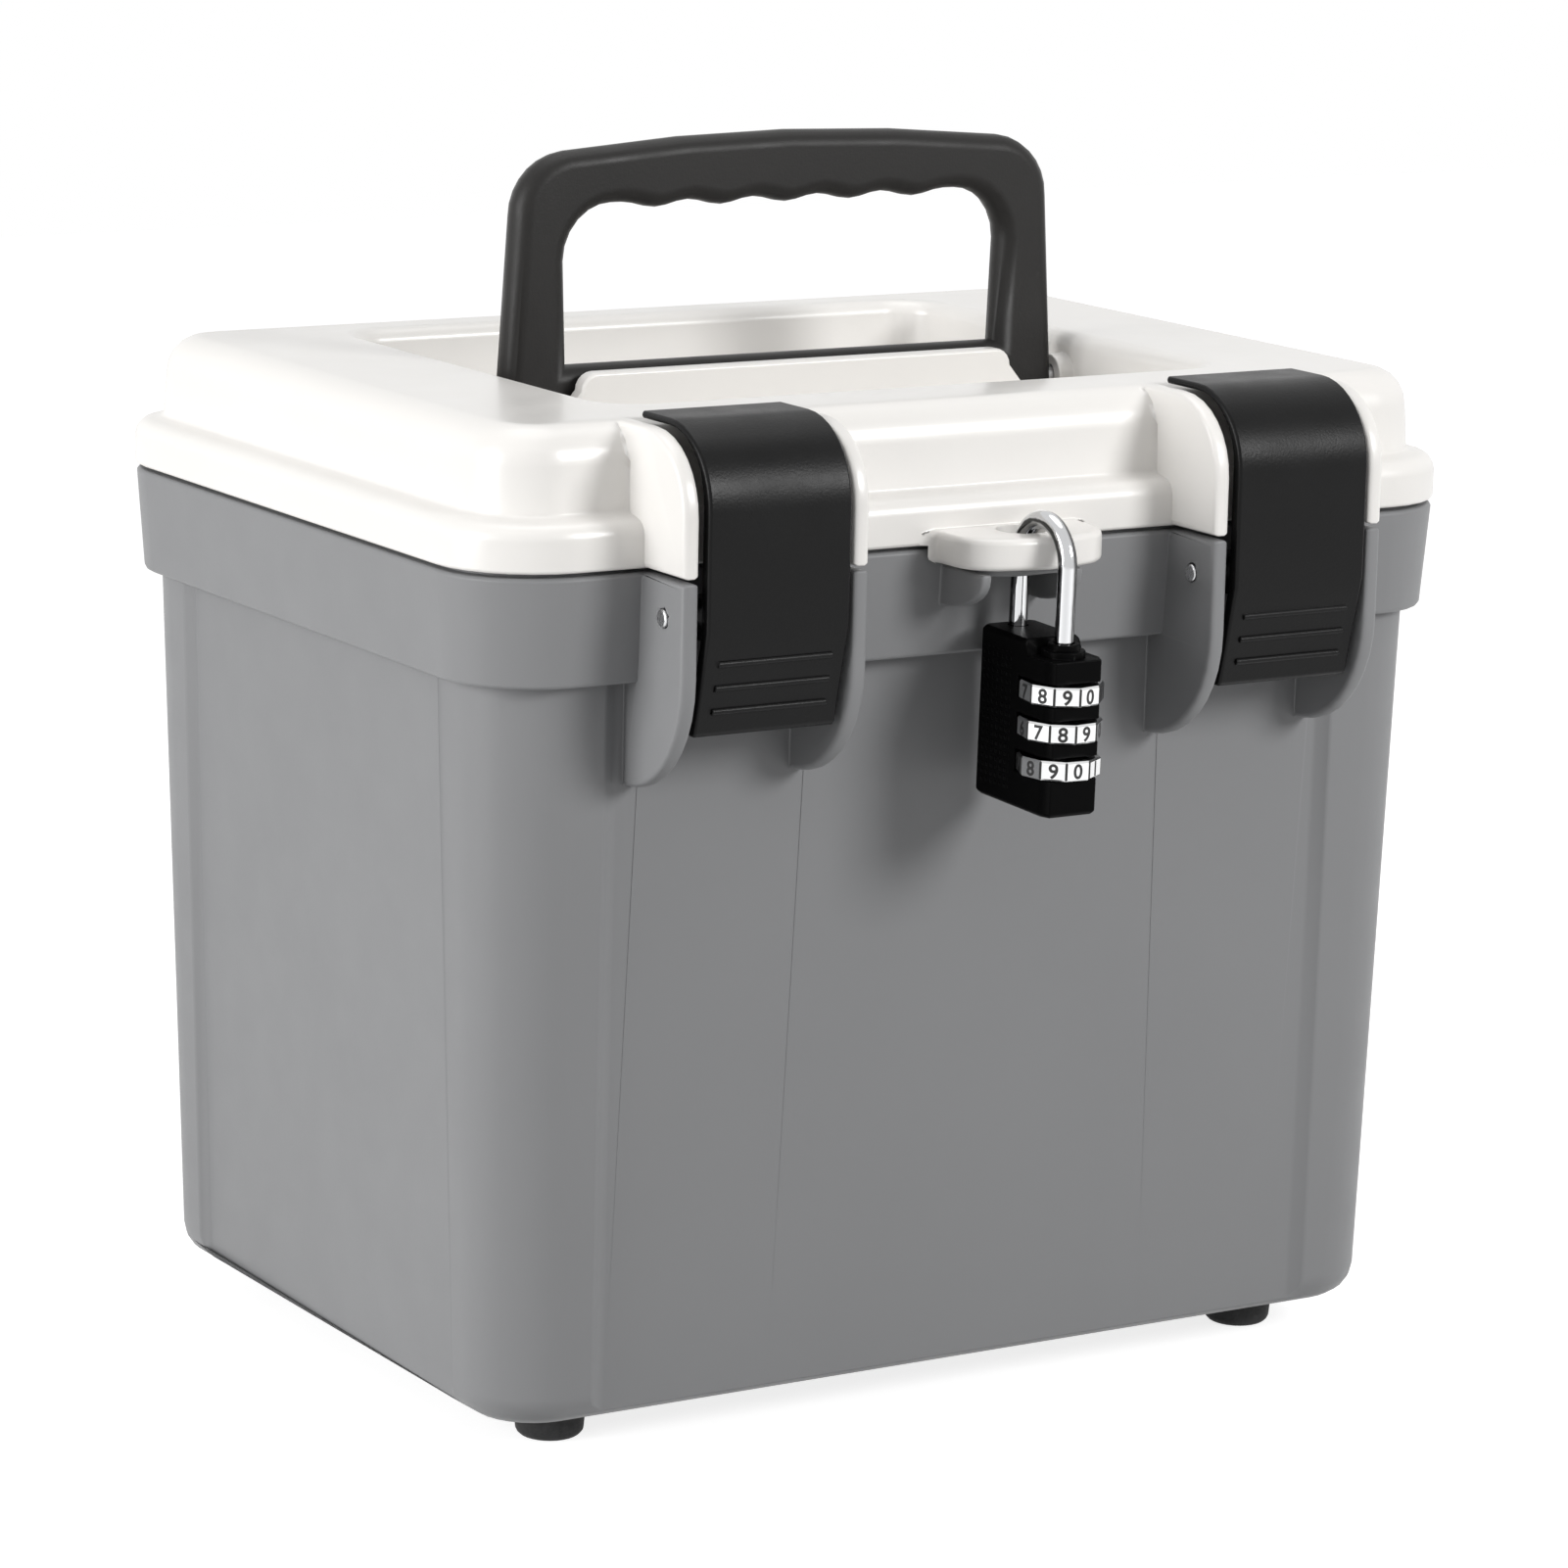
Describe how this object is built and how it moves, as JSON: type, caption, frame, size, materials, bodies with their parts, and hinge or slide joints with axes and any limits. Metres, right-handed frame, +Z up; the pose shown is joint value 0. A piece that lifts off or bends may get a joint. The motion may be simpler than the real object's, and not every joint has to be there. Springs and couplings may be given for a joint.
{
  "type": "medication lock box",
  "caption": "Upright lockable storage case with a domed hinged lid, folding carry handle, two rocking latches, a combination padlock on a locking lug and a lift-out compartment tray.",
  "frame": {"origin": "on the surface the feet stand on, under the middle of the whole object", "axes": "+Z up, -Y towards the front with the latches and the padlock, +X to the right when looking at the front"},
  "size_m": [0.246, 0.2246, 0.2682],
  "materials": {
    "case": "fine moulded grain, satin",
    "lid": "fine moulded grain, satin to gloss",
    "latch": "satin black",
    "handle": "satin charcoal",
    "rubber": "matt",
    "pin": "drawn",
    "padlock": "black with a fine square texture on the wide faces",
    "shackle": "polished",
    "dial": "satin silver with black digits",
    "tray": "satin"
  },
  "bodies": {
    "case": {"case_body": "case", "foot_front_left": "rubber", "foot_front_right": "rubber", "foot_rear_left": "rubber", "foot_rear_right": "rubber", "hinge_pin_left": "pin", "hinge_pin_right": "pin", "latch_pin_left": "pin", "latch_pin_right": "pin"},
    "lid": {"lid_shell": "lid", "handle_pin_left": "pin", "handle_pin_right": "pin"},
    "carry_handle": {"handle": "handle"},
    "left_latch": {"latch_left": "latch"},
    "right_latch": {"latch_right": "latch"},
    "padlock": {"padlock_body": "padlock"},
    "padlock_shackle": {"shackle": "shackle"},
    "top_dial": {"dial_top": "dial"},
    "middle_dial": {"dial_middle": "dial"},
    "bottom_dial": {"dial_bottom": "dial"},
    "tray": {"lift_out_tray": "tray"}
  },
  "joints": [
    {"name": "lid_hinge", "type": "hinge", "parent": "case", "child": "lid", "pos_m": [0, 0.10791, 0.1906], "axis": [-1, 0, 0], "range_deg": [0, 100]},
    {"name": "latch_left_rock", "type": "hinge", "parent": "case", "child": "left_latch", "pos_m": [-0.0646, -0.08779, 0.1822], "axis": [1, 0, 0], "range_deg": [0, 38]},
    {"name": "latch_right_rock", "type": "hinge", "parent": "case", "child": "right_latch", "pos_m": [0.0646, -0.08779, 0.1822], "axis": [1, 0, 0], "range_deg": [0, 38]},
    {"name": "handle_fold", "type": "hinge", "parent": "lid", "child": "carry_handle", "pos_m": [0, 0.01231, 0.2099], "axis": [1, 0, 0], "range_deg": [-90, 6]},
    {"name": "padlock_swing", "type": "hinge", "parent": "case", "child": "padlock", "pos_m": [0, -0.09549, 0.1889], "axis": [-1, 0, 0], "range_deg": [-7, 12]},
    {"name": "shackle_pull", "type": "slide", "parent": "padlock", "child": "padlock_shackle", "axis": [0, -0.0297, 0.9996], "range_m": [0, 0.008]},
    {"name": "dial_top_turn", "type": "hinge", "parent": "padlock", "child": "top_dial", "pos_m": [0, -0.10344, 0.16325], "axis": [0, -0.0297, 0.9996], "continuous": true},
    {"name": "dial_middle_turn", "type": "hinge", "parent": "padlock", "child": "middle_dial", "pos_m": [0, -0.1032, 0.15546], "axis": [0, -0.0297, 0.9996], "continuous": true},
    {"name": "dial_bottom_turn", "type": "hinge", "parent": "padlock", "child": "bottom_dial", "pos_m": [0, -0.10297, 0.14766], "axis": [0, -0.0297, 0.9996], "continuous": true},
    {"name": "tray_lift", "type": "slide", "parent": "case", "child": "tray", "axis": [0, 0, 1], "range_m": [0, 0.02]}
  ]
}
